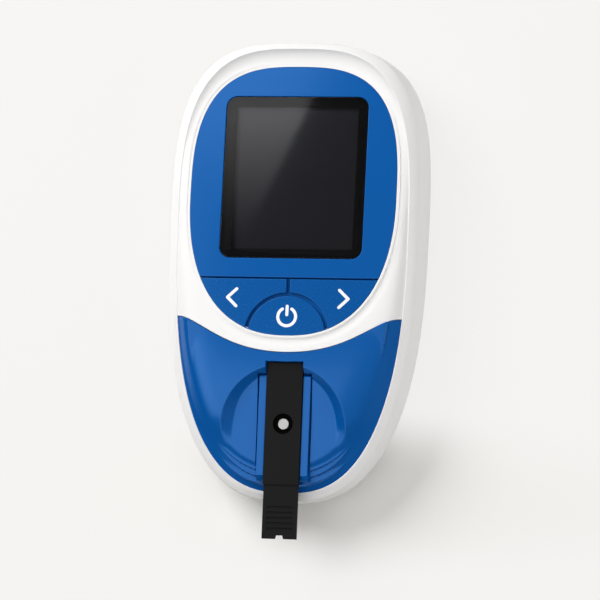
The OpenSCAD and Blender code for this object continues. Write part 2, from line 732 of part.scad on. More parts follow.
module arrow_flat(s) for (e = [-1, 1]) hull() {
    translate([s * (arrow_x + arrow_tip), arrow_y]) circle(d = mark_line, $fn = 24);
    translate([s * (arrow_x - arrow_tail), arrow_y + e * arrow_rise]) circle(d = mark_line, $fn = 24);
  }

// the power sign: a ring open at the top, with round ends, and a bar in the gap
power_ring_r = 2.68;
module power_flat() translate([0, power_mark_y]) union() {
    difference() {
      circle(r = power_ring_r + mark_line / 2, $fn = 64);
      circle(r = power_ring_r - mark_line / 2, $fn = 64);
      polygon([[0, 0], [-3, 5], [3, 5]]);
    }
    for (a = [-32, 32])
      translate([power_ring_r * sin(a), power_ring_r * cos(a)]) circle(d = mark_line, $fn = 24);
    translate([-mark_line / 2, 0.2]) square([mark_line, 3.3]);
  }

module mark_solid() translate([0, 0, face_z - mark_depth]) linear_extrude(height = mark_depth) children();

module left_key() color("royalblue") difference() {
    key_cap([0, 1], 0) side_key_flat(-1);
    mark_solid() arrow_flat(-1);
  }
module right_key() color("royalblue") difference() {
    key_cap([2, 3], 1) side_key_flat(1);
    mark_solid() arrow_flat(1);
  }
module power_key() color("royalblue") difference() {
    key_cap([4, 5], 2) power_key_flat();
    mark_solid() power_flat();
  }
module left_mark() color("white") mark_solid() arrow_flat(-1);
module right_mark() color("white") mark_solid() arrow_flat(1);
module power_mark() color("white") mark_solid() power_flat();

// strip: width of its bare tail, its sample pad, and the grip grooves across the tail
tail_w = strip_w - 0.4;
pad_r = 1.6;
groove_l = 7.7;
groove_w = 0.54;
groove_pitch = 1.57;
module strip_body() color([0.15, 0.15, 0.15]) on_strip()
  difference() {
    union() {
      box(-strip_w / 2, strip_w / 2, strip_top_y - cover_l, strip_top_y, -strip_t, -cover_t);
      box(-tail_w / 2, tail_w / 2, strip_top_y - strip_l, strip_top_y - 1, -strip_t, -cover_t);
    }
    translate([0, hole_y, -strip_t - 1]) cylinder(r = pad_r, h = 9, $fn = 48);
    for (i = [0:4]) translate([0, strip_top_y - strip_l + 9.2 - groove_pitch * i, -cover_t - 0.3])
      translate([-groove_l / 2, -groove_w / 2, 0]) cube([groove_l, groove_w, 2]);
    translate([0, strip_top_y - strip_l, -3]) linear_extrude(height = 6)
      polygon([[-1.5, -1], [1.5, -1], [1, 1.05], [-1, 1.05]]);
  }

module strip_cover() color([0.1, 0.1, 0.1]) on_strip()
  difference() {
    box(-strip_w / 2, strip_w / 2, strip_top_y - cover_l, strip_top_y, -cover_t, 0);
    translate([0, hole_y, -cover_t]) cylinder(r1 = hole_r - 0.3, r2 = hole_r, h = cover_t, $fn = 64);
    translate([0, hole_y, -2]) cylinder(r = hole_r - 0.3, h = 2, $fn = 64);
  }

module sample_mesh() color("white") on_strip()
  translate([0, hole_y, -strip_t]) cylinder(r = pad_r, h = strip_t - cover_t - 0.2, $fn = 48);

front_shell();
rear_shell();
display_panel();
display_lens();
lens_tape();
lcd_glass();
lcd_frame();
backlight();
lcd_ribbon();
main_board();
board_chips();
buzzer();
key_switches();
lower_fascia();
strip_guide();
optical_window();
optics_block();
optics_leds();
photodiode();
optics_board();
optics_ribbon();
battery_springs();
battery_contacts();
battery_1();
battery_2();
battery_3();
battery_4();
battery_door();
rear_screws();
board_screws();
rubber_feet();
left_key();
right_key();
power_key();
left_mark();
right_mark();
power_mark();
strip_body();
strip_cover();
sample_mesh();
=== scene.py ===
"""The dressed lipid meter: a white egg-shaped meter with a blue front, three keys and a test strip.

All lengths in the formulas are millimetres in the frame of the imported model: x across, y along the
body toward the display end, z up from the table. A piece becomes metres when its mesh is made.
"""
import math

import bpy
import numpy as np
from mathutils import Matrix, Vector


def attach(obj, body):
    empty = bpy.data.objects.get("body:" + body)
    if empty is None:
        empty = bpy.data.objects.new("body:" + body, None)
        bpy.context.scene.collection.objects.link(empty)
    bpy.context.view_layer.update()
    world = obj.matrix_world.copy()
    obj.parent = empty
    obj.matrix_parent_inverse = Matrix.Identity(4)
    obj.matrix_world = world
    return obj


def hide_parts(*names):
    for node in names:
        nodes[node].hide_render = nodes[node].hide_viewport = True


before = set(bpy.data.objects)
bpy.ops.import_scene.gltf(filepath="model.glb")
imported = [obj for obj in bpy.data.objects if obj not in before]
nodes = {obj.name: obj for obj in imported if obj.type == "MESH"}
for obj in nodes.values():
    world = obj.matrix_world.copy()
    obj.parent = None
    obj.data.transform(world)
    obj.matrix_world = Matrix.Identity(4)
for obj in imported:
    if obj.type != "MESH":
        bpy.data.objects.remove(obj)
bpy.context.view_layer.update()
MM = 0.001

# body: a squared oval measured from its widest line, whose sides lean in toward the rim
HALF_W = 38.4
BELLY_Y = 18.5
END_UP = 55.3
END_DOWN = 80.7
SQUARE_UP = 3.5
SQUARE_DOWN = 2.6
SIDE_LEAN = 1.5
# shares of the lean: how far the ends follow it, and how much it rounds the display end
END_LEAN = 0.2
LEAN_ROUND = 0.29

# heights: the shells' seam, the front face, and the rim, which falls straight toward the strip end
# and then by a square drop more at its toe
PART_Z = 10.5
FACE_Z = 24.0
RIM_RISE = 2.0
RIM_SLOPE = 0.062
RIM_FAR_Y = 73.6
TOE_Y = -34.1
TOE_L = 27.7
TOE_DROP = 2.7
# width of the lip that stands along the rim
LIP = 2.2

# front surface: at the strip end a bell-shaped roll and a late bend, at the toe a plain bend, and at
# the display end a cove with a shallow dip
BELL_SHARE = 0.45
BELL_WIDTH = 0.164
BELL_POWER = 2.44
BELL_START = 0.012
EDGE_POWER = 4.2
TOE_POWER = 2.7
TOE_BEND = (38, 50)
COVE_POWER = 2.05
COVE_DIP = 0.27
COVE_Y = -8.1
COVE_L = 70

# oval recess, and the panel and keys in it
OVAL_W = 31.2
OVAL_Y = 27.7
OVAL_UP = 38.7
OVAL_DOWN = 41.9
OVAL_SQUARE_UP = 2.9
OVAL_SQUARE_DOWN = 2.35
RECESS_Z = 22.2
SPLIT_Y = 3.05
SPLIT_GAP = 0.4
KEY_GAP = 1.0
KEY_EDGE = 0.26
POWER_R = 12.2
POWER_Y = OVAL_Y - OVAL_DOWN + 0.1
CAP_LOW = 23.05
PANEL_EDGE = 0.28
WINDOW_EDGE = 0.2

# display lens on its tape
LENS_W = 42.9
LENS_H = 48.4
LENS_Y = 33.1
LENS_R = 3.3
LENS_TOP = 23.95
LENS_GAP = 0.1
LENS_EDGE = 0.15
TAPE_T = 0.25

# marks on the keys
ARROW_X = 16.0
ARROW_Y = -3.05
ARROW_AHEAD = 2.2
ARROW_BEHIND = 0.5
ARROW_HALF_H = 2.55
MARK_LINE = 0.92
MARK_DEPTH = 0.3
MARK_PROUD = 0.02
POWER_MARK_Y = -8.6
POWER_RING_R = 2.68
POWER_MOUTH = 32
POWER_BAR = (0.6, 3.1)

# lower fascia: its upper edge, its tilted seat, and the strip's tray in it
CORNER_X = 34.2
CORNER_EDGE_X = 0.99 * CORNER_X
FASCIA_TOP_Y = -19.15
FASCIA_RISE = (10.9, 9.2, -9.35)
FASCIA_GAP = 0.15
# radius of the rounded edge, and how much of the quarter arc's depth it takes
FASCIA_EDGE = 0.3
FASCIA_EDGE_SHARE = 0.8
SEAT_TILT = 6.26
SEAT_Z = 18.5
STRIP_TILT = 2.93
STRIP_TOP_Y = -22.0
STRIP_DROP = 1.35
NOTCH_HALF = 5.5
NOTCH_WALL = 0.1
GUIDE_HALF = 7.8
GUIDE_TOP = -25.7
SLOT_GAP = 0.35
SLOT_WALL = 0.12
BED_LOW = 2.8

# dish round the strip: its wall, its floor with a rounded front, and two terraces that follow the lip
DISH_R = 18.5
DISH_Y = -41.4
DISH_WALL_IN = 3.1
DISH_WALL = 3.4
DISH_WALL_POWER = 1.3
FLOOR_DEPTH = 1.5
FLOOR_Y = -28.6
FLOOR_BEND = (23.2, 25.6)
FLOOR_BEND_DROP = 0.65
FLOOR_END = (26.1, 26.75)
UPPER_STEP_DEPTH = 2.75
UPPER_STEP_END = (3.2, 3.75)
UPPER_STEP_RISE = 0.09
UPPER_STEP_Y = -52
LOWER_STEP_DEPTH = 3.5
LOWER_STEP_END = (1.4, 1.95)
# a drop that takes a step's surface below everything else
AWAY = 6
# rounds where the dish's surfaces meet, where its steps meet, and at the edges of cuts
DISH_ROUND = 0.1
STEP_ROUND = 0.15
CUT_ROUND = 0.05

# how far the white face and the blue pillow end below the rim
FACE_DROP = 0.2
PILLOW_DROP = 0.35

# hole through the strip, over its pad
HOLE_Y = -40.05
HOLE_R = 3.05


def egg_radius(a, w, up, down, square_up, square_down):
    """Radius of a squared oval at angle a: (|cos a / w|^n + |sin a / b|^n)^(-1/n), with its own
    length b and squareness n above and below the widest line."""
    s = np.sin(a)
    b, n = np.where(s >= 0, up, down), np.where(s >= 0, square_up, square_down)
    return ((np.abs(np.cos(a)) / w) ** n + (np.abs(s) / b) ** n) ** (-1 / n)


def spread(a, w, up, down):
    """Step angle turned so that points crowd at the tighter ends."""
    return np.arctan2(np.where(np.sin(a) >= 0, up, down) * np.sin(a), w * np.cos(a))


def body_point(a, lean=0.0, off=0.0):
    """Point of the body outline at step angle a, leaned in and then moved out by off."""
    t = spread(a, HALF_W, END_UP, END_DOWN)
    ends = off - END_LEAN * lean
    r = egg_radius(t, HALF_W - lean + off, END_UP + ends, END_DOWN + ends,
                   SQUARE_UP - LEAN_ROUND * lean, SQUARE_DOWN)
    return np.stack([r * np.cos(t), BELLY_Y + r * np.sin(t)], -1)


def oval_at(t, off=0.0):
    """Point of the oval at polar angle t from its middle, moved out by off."""
    r = egg_radius(t, OVAL_W + off, OVAL_UP + off, OVAL_DOWN + off, OVAL_SQUARE_UP, OVAL_SQUARE_DOWN)
    return np.stack([r * np.cos(t), OVAL_Y + r * np.sin(t)], -1)


def oval_share(x, y):
    """Share of the oval's radius that a point lies at: 1 on the oval, more outside it."""
    yy = y - OVAL_Y
    b, n = np.where(yy >= 0, OVAL_UP, OVAL_DOWN), np.where(yy >= 0, OVAL_SQUARE_UP, OVAL_SQUARE_DOWN)
    return ((np.abs(x) / OVAL_W) ** n + (np.abs(yy) / b) ** n) ** (1 / n)


def inside(x, y, w, up, down, square_up, square_down):
    """Distance in from a squared oval's edge, first order: (1 - g) / |grad g|, and g, which is the
    share of the oval's radius that the point lies at."""
    b, n = np.where(y >= 0, up, down), np.where(y >= 0, square_up, square_down)
    ax, ay = np.abs(x) + 1e-6, np.abs(y) + 1e-6
    g = ((ax / w) ** n + (ay / b) ** n) ** (1 / n)
    slope = g ** (1 - n) * np.hypot(ax ** (n - 1) / w ** n, ay ** (n - 1) / b ** n)
    return (1 - g) / slope, g


def in_rim(x, y, off):
    """Distance in from the rim's outline, itself set in by off, and the share of its radius."""
    ends = END_LEAN * SIDE_LEAN + off
    return inside(x, y - BELLY_Y, HALF_W - SIDE_LEAN - off, END_UP - ends, END_DOWN - ends,
                  SQUARE_UP - LEAN_ROUND * SIDE_LEAN, SQUARE_DOWN)


def out_of_oval(x, y):
    """Distance out from the oval's edge."""
    return -inside(x, y - OVAL_Y, OVAL_W, OVAL_UP, OVAL_DOWN, OVAL_SQUARE_UP, OVAL_SQUARE_DOWN)[0]


def rim_z(y):
    """Height of the rim: a straight fall toward the strip end, and an extra square fall at its toe."""
    toe = np.where(y < TOE_Y, TOE_DROP * ((TOE_Y - y) / TOE_L) ** 2, 0.0)
    return FACE_Z + RIM_RISE - RIM_SLOPE * (RIM_FAR_Y - y) - toe


def smooth(lo, hi, v):
    """0 below lo, 1 above hi, and 3t^2 - 2t^3 between."""
    t = np.clip((v - lo) / (hi - lo), 0, 1)
    return t * t * (3 - 2 * t)


def soft_min(a, b, r):
    """The lower of two heights, with a round of about r where they meet."""
    h = np.clip(0.5 + 0.5 * (b - a) / r, 0, 1)
    return b + (a - b) * h - r * h * (1 - h)


def soft_max(a, b, r):
    """The higher of two heights, with a round of about r where they meet."""
    return -soft_min(-a, -b, r)


def face_height(x, y, end_drop):
    """Front surface between oval and rim, with the distances to both. Along a ray with share s from
    the oval to the rim, z = face + (rim - end_drop - face) share - dip k (s^1.6 - s^3.4), where k goes
    from 0 at the strip end to 1 at the display end. At k = 0 the share is a bell, 1 / (1 + ((1 - s) /
    width)^power) drawn down to 0 at the oval, mixed with s^4.2, and at the toe it is s^2.7. At k = 1 it
    is s^2.05."""
    d_in = np.maximum(0, out_of_oval(x, y))
    d_rim, g = in_rim(x, y, LIP)
    ray_in = np.hypot(x, y - OVAL_Y) * (1 - 1 / np.maximum(1, oval_share(x, y)))
    ray_out = np.maximum(0, np.hypot(x, y - BELLY_Y) * (1 / np.maximum(g, 1e-3) - 1))
    s = ray_in / np.maximum(ray_in + ray_out, 1e-6)
    y_at_rim = BELLY_Y + (y - BELLY_Y) / np.maximum(g, 0.2)
    k = np.clip((y_at_rim - COVE_Y) / COVE_L, 0, 1)
    bell = 1 / (1 + ((1 - s) / BELL_WIDTH) ** BELL_POWER)
    roll = BELL_SHARE * (bell - BELL_START) / (1 - BELL_START) + (1 - BELL_SHARE) * s ** EDGE_POWER
    toe = smooth(*TOE_BEND, -y)
    roll = roll * (1 - toe) + s ** TOE_POWER * toe
    share = (1 - k) * roll + k * s ** COVE_POWER
    dip = COVE_DIP * k * (s ** 1.6 - s ** 3.4)
    return FACE_Z + (rim_z(y_at_rim) - end_drop - FACE_Z) * share - dip, d_in, d_rim


def strip_plane(y, depth):
    """Height of the tilted plane that lies depth below the strip's top face."""
    return FACE_Z - STRIP_DROP + (y - STRIP_TOP_Y) * math.tan(math.radians(STRIP_TILT)) - depth


def fascia_edge(x):
    """Upper edge of the lower fascia: an even curve of the sixth degree that turns up at its corners."""
    v = (x / CORNER_X) ** 2
    square, fourth, sixth = FASCIA_RISE
    return FASCIA_TOP_Y + square * v + fourth * v ** 2 + sixth * v ** 3


def seat_z(y):
    """Height of the tilted seat under the lower fascia."""
    return SEAT_Z + (y - COVE_Y) * math.tan(math.radians(SEAT_TILT))


# making meshes
def quads(rows, cols, wrap=True):
    """Faces of a grid of rows by cols points, closed round its columns if wrap is set."""
    r = np.arange(rows - 1)[:, None]
    c = np.arange(cols if wrap else cols - 1)[None, :]
    n = (c + 1) % cols
    return np.stack([r * cols + c, r * cols + n, (r + 1) * cols + n, (r + 1) * cols + c], -1).reshape(-1, 4)


def at_height(outline, z):
    """Points of a flat outline at one height, or at a height for each."""
    return np.column_stack([outline, np.broadcast_to(z, len(outline))])


def volume(points, faces):
    """Signed volume of a closed mesh, from fans of triangles."""
    total = 0.0
    for f in faces:
        f = np.atleast_2d(f)
        for k in range(1, f.shape[1] - 1):
            a, b, c = points[f[:, 0]], points[f[:, k]], points[f[:, k + 1]]
            total += np.einsum("ij,ij->i", a, np.cross(b, c)).sum() / 6
    return total


def piece(name, parts, slot, body, stands_for, sharp=32, closed=True):
    """One object from parts, each a pair of points and a list of face arrays. A closed part whose
    faces point inward is turned round. Its finish is the one that its slot names."""
    points, faces, base = [], [], 0
    for p, face_arrays in parts:
        p = np.asarray(p, float).reshape(-1, 3)
        flip = closed and volume(p, face_arrays) < 0
        for f in map(np.atleast_2d, face_arrays):
            faces += ((f[:, ::-1] if flip else f) + base).tolist()
        points.append(p)
        base += len(p)
    mesh = bpy.data.meshes.new(name)
    mesh.from_pydata((np.concatenate(points) * MM).tolist(), [], faces)
    mesh.shade_smooth()
    mesh.set_sharp_from_angle(angle=math.radians(sharp))
    obj = bpy.data.objects.new(name, mesh)
    bpy.context.scene.collection.objects.link(obj)
    mesh.materials.append(finish[slot])
    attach(obj, body)
    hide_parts(*stands_for)
    return obj


def inset(outline, d):
    """Closed outline moved in by d along the mitres of its corners."""
    edge = np.roll(outline, -1, 0) - outline
    edge /= np.linalg.norm(edge, axis=1, keepdims=True)
    normal = np.stack([-edge[:, 1], edge[:, 0]], -1)
    mitre = normal + np.roll(normal, 1, 0)
    mitre /= np.maximum(np.einsum("ij,ij->i", mitre, normal), 0.25)[:, None]
    return outline + mitre * d


def corners_kept(outline, room):
    """True for the points of a closed outline that are its corners or lie further than room from one."""
    way = np.roll(outline, -1, 0) - outline
    turn = np.arctan2(way[:, 1], way[:, 0])
    turn = np.abs((turn - np.roll(turn, 1) + math.pi) % (2 * math.pi) - math.pi)
    corner = turn > math.radians(25)
    if not corner.any():
        return np.ones(len(outline), bool)
    gap = np.linalg.norm(outline[:, None] - outline[corner][None], axis=2).min(1)
    return corner | (gap > room)


# an edge's quarter round in five steps, and how far past it, in its own radii, the flat's first row lies
ROUND_STEPS = np.radians([0, 22.5, 45, 67.5, 90])
PAST_ROUND = 1.25
CORNER_ROOM = 2.5


def rounded_edge(outline, z, r, side=1):
    """Rows of a quarter round that ends at height z, set in for side 1 and set out for side -1."""
    return [at_height(inset(outline, side * r * (1 - math.cos(t))), z - r + r * math.sin(t))
            for t in ROUND_STEPS]


def slab(outline, z0, z1, r=0.2):
    """A flat piece: the outline carried up from z0 to z1, its top edge rounded by r as a quarter arc."""
    outline = outline[corners_kept(outline, CORNER_ROOM * r)]
    rows = [at_height(outline, z0), *rounded_edge(outline, z1, r)]
    rows.append(at_height(inset(outline, r * PAST_ROUND), z1))
    n, m = len(outline), len(rows)
    return np.concatenate(rows), [quads(m, n), np.arange(n)[::-1], np.arange(n) + (m - 1) * n]


def window_slab(outer, inner, z0, z1, r, r_in):
    """A flat piece with a window, as a closed tube of rows: its outer and inner top edges are rounded
    by r and r_in."""
    kept = corners_kept(outer, CORNER_ROOM * r)
    outer, inner = outer[kept], inner[kept]
    rows = rounded_edge(outer, z1, r)
    rows += [at_height(inset(outer, PAST_ROUND * r), z1), at_height(inset(inner, -PAST_ROUND * r_in), z1)]
    rows += rounded_edge(inner, z1, r_in, -1)[::-1]
    rows += [at_height(inner, z0), at_height(outer, z0)]
    n, m = len(outer), len(rows)
    return np.concatenate(rows), [quads(m + 1, n) % (n * m)]


def arc(cx, cy, r, a0, a1, n):
    """n points of an arc round (cx, cy), from a0 to a1 in degrees."""
    t = np.radians(np.linspace(a0, a1, n))
    return np.stack([cx + r * np.cos(t), cy + r * np.sin(t)], -1)


def stroke(path, width):
    """Outline of a line of one width along a path, with round ends."""
    way = np.gradient(path, axis=0)
    way /= np.linalg.norm(way, axis=1, keepdims=True)
    out = np.stack([-way[:, 1], way[:, 0]], -1) * width / 2
    a0 = math.degrees(math.atan2(way[0, 1], way[0, 0]))
    a1 = math.degrees(math.atan2(way[-1, 1], way[-1, 0]))
    return np.concatenate([path - out, arc(*path[-1], width / 2, a1 - 75, a1 + 75, 9),
                           (path + out)[::-1], arc(*path[0], width / 2, a0 + 105, a0 + 255, 9)])


def rounded_rect(w, h, cy, r):
    """Outline of a rectangle round (0, cy) with corners of radius r."""
    x, y = w / 2 - r, h / 2 - r
    corners = [(x, y, 0), (-x, y, 90), (-x, -y, 180), (x, -y, 270)]
    return np.concatenate([arc(cx, cy + dy, r, a, a + 90, 13) for cx, dy, a in corners])


# materials
# a colour Mix node's two inputs and its result, by number
MIX_A, MIX_B, MIX_OUT = 6, 7, 2
# sizes in millimetres: a moulding's cloudiness, a clear lens's ripple, and the depth of fine lines
CLOUD_MM = 14
RIPPLE_MM = 9
FINE_BUMP_MM = 0.01
# how far a grain shifts the roughness to either side
GRAIN_SHIFT = 0.05


def linear(code):
    """sRGB hex to linear light, with full alpha."""
    v = [int(code[i:i + 2], 16) / 255 for i in (0, 2, 4)]
    return [c / 12.92 if c <= 0.04045 else ((c + 0.055) / 1.055) ** 2.4 for c in v] + [1.0]


def add(tree, kind, settings=(), links=()):
    """One node, with its attributes or socket values from settings and its inputs from links."""
    n = tree.nodes.new(kind)
    for key, value in dict(settings).items():
        if isinstance(key, str) and hasattr(n, key):
            setattr(n, key, value)
        else:
            n.inputs[key].default_value = value
    for key, source in dict(links).items():
        tree.links.new(source, n.inputs[key])
    return n


def new_tree(name):
    """An empty material and its node tree."""
    m = bpy.data.materials.new(name)
    m.use_nodes = True
    m.node_tree.nodes.clear()
    return m, m.node_tree


def moulded(name, code, rough, grain_mm, grain_depth_mm, tone=0.03, specular=0.5, sheen_tint="FFFFFF"):
    """Moulded plastic, rubber or film: one body colour with a faint cloudiness, a fine spark-eroded
    grain as bump, and roughness that varies with the grain."""
    m, t = new_tree(name)
    place = add(t, "ShaderNodeTexCoord").outputs["Object"]
    grain = add(t, "ShaderNodeTexNoise", {"Scale": 1 / (grain_mm * MM), "Detail": 2.0}, {"Vector": place})
    cloud = add(t, "ShaderNodeTexNoise", {"Scale": 1 / (CLOUD_MM * MM), "Detail": 3.0}, {"Vector": place})
    c = np.array(linear(code)[:3])
    mix = add(t, "ShaderNodeMix", {"data_type": "RGBA", MIX_A: [*(c * (1 - tone)), 1],
                                   MIX_B: [*np.minimum(c * (1 + tone), 1), 1]}, {0: cloud.outputs[0]})
    shine = add(t, "ShaderNodeMapRange", {"To Min": rough - GRAIN_SHIFT, "To Max": rough + GRAIN_SHIFT},
                {"Value": grain.outputs[0]})
    bump = add(t, "ShaderNodeBump", {"Strength": 1.0, "Distance": grain_depth_mm * MM},
               {"Height": grain.outputs[0]})
    surface = add(t, "ShaderNodeBsdfPrincipled",
                  {"IOR": 1.54, "Specular IOR Level": specular, "Specular Tint": linear(sheen_tint)},
                  {"Base Color": mix.outputs[MIX_OUT], "Roughness": shine.outputs[0],
                   "Normal": bump.outputs[0]})
    add(t, "ShaderNodeOutputMaterial", {}, {"Surface": surface.outputs[0]})
    return m


def metal(name, code, rough, brush_mm):
    """Plated sheet metal: fine drawn lines along y as bump and as changes of gloss."""
    m, t = new_tree(name)
    place = add(t, "ShaderNodeTexCoord").outputs["Object"]
    drawn = add(t, "ShaderNodeMapping", {"Scale": (1, 0.04, 1)}, {"Vector": place})
    lines = add(t, "ShaderNodeTexNoise", {"Scale": 1 / (brush_mm * MM), "Detail": 2.0},
                {"Vector": drawn.outputs[0]})
    shine = add(t, "ShaderNodeMapRange", {"To Min": rough - 0.06, "To Max": rough + 0.08},
                {"Value": lines.outputs[0]})
    bump = add(t, "ShaderNodeBump", {"Strength": 0.6, "Distance": FINE_BUMP_MM * MM},
               {"Height": lines.outputs[0]})
    surface = add(t, "ShaderNodeBsdfPrincipled", {"Base Color": linear(code), "Metallic": 1.0},
                  {"Roughness": shine.outputs[0], "Normal": bump.outputs[0]})
    add(t, "ShaderNodeOutputMaterial", {}, {"Surface": surface.outputs[0]})
    return m


def clear(name, code, rough, tint):
    """Clear moulded lens: the tinted view through it, under a gloss that grows toward grazing angles."""
    m, t = new_tree(name)
    place = add(t, "ShaderNodeTexCoord").outputs["Object"]
    ripple = add(t, "ShaderNodeTexNoise", {"Scale": 1 / (RIPPLE_MM * MM), "Detail": 1.0}, {"Vector": place})
    bump = add(t, "ShaderNodeBump", {"Strength": 0.25, "Distance": FINE_BUMP_MM * MM},
               {"Height": ripple.outputs[0]})
    through = add(t, "ShaderNodeBsdfTransparent", {"Color": linear(tint)})
    gloss = add(t, "ShaderNodeBsdfGlossy", {"Color": linear(code), "Roughness": rough},
                {"Normal": bump.outputs[0]})
    share = add(t, "ShaderNodeFresnel", {"IOR": 1.5}, {"Normal": bump.outputs[0]})
    both = add(t, "ShaderNodeMixShader", {},
               {0: share.outputs[0], 1: through.outputs[0], 2: gloss.outputs[0]})
    add(t, "ShaderNodeOutputMaterial", {}, {"Surface": both.outputs[0]})
    return m


finish = {
    # ABS from a satin tool: a broad soft sheen on clean white
    "white_shell": moulded("satin_white_abs", "F2F1F0", 0.42, 0.45, 0.006, tone=0.008, specular=0.35),
    # blue ABS from a finer tool: a clear sheen in the blue's own tint
    "blue_panel": moulded("satin_blue_abs", "0056A4", 0.24, 0.5, 0.005, tone=0.02, specular=1.0,
                          sheen_tint="92C6FF"),
    # the keys' ABS, a shade deeper than the panel's
    "blue_key": moulded("satin_blue_key_abs", "00529C", 0.26, 0.5, 0.001, tone=0.01, specular=1.0,
                        sheen_tint="88C4FF"),
    # second shot of white ABS: even white, with no edge of ink
    "white_mark": moulded("white_two_shot_abs", "FAFAFA", 0.45, 0.4, 0.004, tone=0.005),
    # closed foam: dull black, no glint
    "tape": moulded("black_foam_tape", "0B0B0C", 0.6, 0.3, 0.01),
    # polariser over a display that is switched off: even dark grey
    "lcd": moulded("dark_polariser_film", "37373B", 0.3, 0.4, 0.002, tone=0.04),
    # moulded nylon: near-black and dull
    "frame": moulded("black_moulded_frame", "161618", 0.5, 0.4, 0.01),
    # milky acrylic: pale with a soft gloss
    "diffuser": moulded("milky_light_guide", "DADCD6", 0.5, 0.4, 0.005),
    # polyimide ribbon: warm amber with a film's gloss
    "flex": moulded("amber_polyimide_film", "B8731F", 0.35, 0.6, 0.003),
    # solder resist over copper: deep green, uneven in tone over the tracks
    "board": moulded("green_solder_resist", "083A20", 0.3, 0.8, 0.008, tone=0.12),
    # moulded epoxy: dull black
    "chip": moulded("epoxy_mould_compound", "0B0B0B", 0.55, 0.2, 0.008),
    # drawn brass: yellow metal with fine lines
    "brass_disc": metal("drawn_brass_cup", "C79E4D", 0.3, 0.3),
    # tinned steel: grey metal, softly blurred
    "switch_metal": metal("tinned_switch_cover", "B3B3B3", 0.35, 0.3),
    # polycarbonate: clear with a faint blue tint and a sharp gloss
    "window": clear("clear_polycarbonate", "FFFFFF", 0.05, "E4EEF2"),
    # moulding that stops light: the dullest black
    "optics_black": moulded("black_light_tight_moulding", "080808", 0.6, 0.3, 0.01),
    # cast epoxy round the light sources: pale and glossy
    "led": moulded("water_clear_epoxy", "E6E0CC", 0.12, 1.0, 0.003),
    # epoxy that filters daylight: nearly black and glossy
    "diode": moulded("dark_filter_epoxy", "100D12", 0.15, 1.0, 0.003),
    # nickel on spring steel: warm grey metal with a tight gloss
    "contact": metal("nickel_spring_steel", "C7C7C2", 0.28, 0.25),
    # lacquered can of a cell: dark blue with a wet gloss
    "cell": moulded("lacquered_steel_can", "1A294D", 0.22, 1.5, 0.004),
    # zinc plate: mid-grey metal, a little blurred
    "screw": metal("zinc_plated_steel", "999999", 0.38, 0.3),
    # silicone rubber: dull dark grey with a fine grain
    "rubber": moulded("grey_silicone_rubber", "1E1E1F", 0.7, 0.3, 0.02),
    # matt film over card: near-black with hardly any sheen
    "strip_black": moulded("matt_black_film", "151516", 0.5, 0.35, 0.008, tone=0.06, specular=0.12),
    # woven pad: white, dull and rough
    "mesh": moulded("white_woven_mesh", "C6C6C4", 0.8, 0.25, 0.05),
    # hard-coated acrylic: a faint grey tint and a clear reflection
    "lens": clear("hard_coated_lens", "FFFFFF", 0.08, "E4E4E8"),
}
SLOT_OF = {
    "white_shell": ["front_shell", "rear_shell", "battery_door"],
    "blue_panel": ["display_panel", "lower_fascia", "strip_guide"],
    "blue_key": ["left_key", "right_key", "power_key"],
    "white_mark": ["left_mark", "right_mark", "power_mark"],
    "lens": ["display_lens"],
    "tape": ["lens_tape"],
    "lcd": ["lcd_glass"],
    "frame": ["lcd_frame"],
    "diffuser": ["backlight"],
    "flex": ["lcd_ribbon", "optics_ribbon"],
    "board": ["main_board", "optics_board"],
    "chip": ["board_chips"],
    "brass_disc": ["buzzer"],
    "switch_metal": ["key_switches"],
    "window": ["optical_window"],
    "optics_black": ["optics_block"],
    "led": ["optics_leds"],
    "diode": ["photodiode"],
    "contact": ["battery_springs", "battery_contacts"],
    "cell": ["battery_1", "battery_2", "battery_3", "battery_4"],
    "screw": ["rear_screws", "board_screws"],
    "rubber": ["rubber_feet"],
    "strip_black": ["strip_body", "strip_cover"],
    "mesh": ["sample_mesh"],
}


def painted_hole_shade(material, y, r):
    """Painted shade in the strip's hole: inside radius r round (0, y) the film turns to a dull near-black,
    darker than the film itself, standing in for the shade down in the hole.
    """
    t = material.node_tree
    surface = next(n for n in t.nodes if n.type == "BSDF_PRINCIPLED")
    base = surface.inputs["Base Color"].links[0].from_socket
    place = add(t, "ShaderNodeTexCoord").outputs["Object"]
    round_it = add(t, "ShaderNodeMapping", {"vector_type": "TEXTURE", "Location": (0, y * MM, 0),
                                            "Scale": (r * MM, r * MM, 1000.0)}, {"Vector": place})
    away = add(t, "ShaderNodeVectorMath", {"operation": "LENGTH"}, {0: round_it.outputs[0]})
    out = add(t, "ShaderNodeMapRange", {"From Min": 0.94, "From Max": 1.0}, {"Value": away.outputs["Value"]})
    mix = add(t, "ShaderNodeMix", {"data_type": "RGBA", MIX_A: linear("030303")},
              {0: out.outputs[0], MIX_B: base})
    gloss = add(t, "ShaderNodeMapRange", {"To Min": 0.02, "To Max": 0.12}, {"Value": out.outputs[0]})
    t.links.new(mix.outputs[MIX_OUT], surface.inputs["Base Color"])
    t.links.new(gloss.outputs[0], surface.inputs["Specular IOR Level"])


# painted shade: inside the strip's hole the film is made near-black and less glossy
painted_hole_shade(finish["strip_black"], HOLE_Y, HOLE_R)
for slot_name, names in SLOT_OF.items():
    for name in names:
        mesh = nodes[name].data
        mesh.materials.clear()
        mesh.materials.append(finish[slot_name])

# front shell
# the wall takes this share of the height from seam to rim, and this lean; the lip takes the rest
WALL_TOP = 0.82
WALL_LEAN = 0.9
WALL_POWER = 1.9
WALL_SHARES = np.linspace(0.012, 0.805, 23)
# rows of the lip, in from its outside, closer where it turns, and its crest among them
LIP_IN = [0.0, 0.12, 0.3, 0.5, 0.75, 1.0, 1.25, 1.5, 1.75, 1.9, 2.0, 2.09, 2.15, LIP]
CREST = 2.0
CREST_ROUND = 0.2
CREST_WIDTH = 0.205
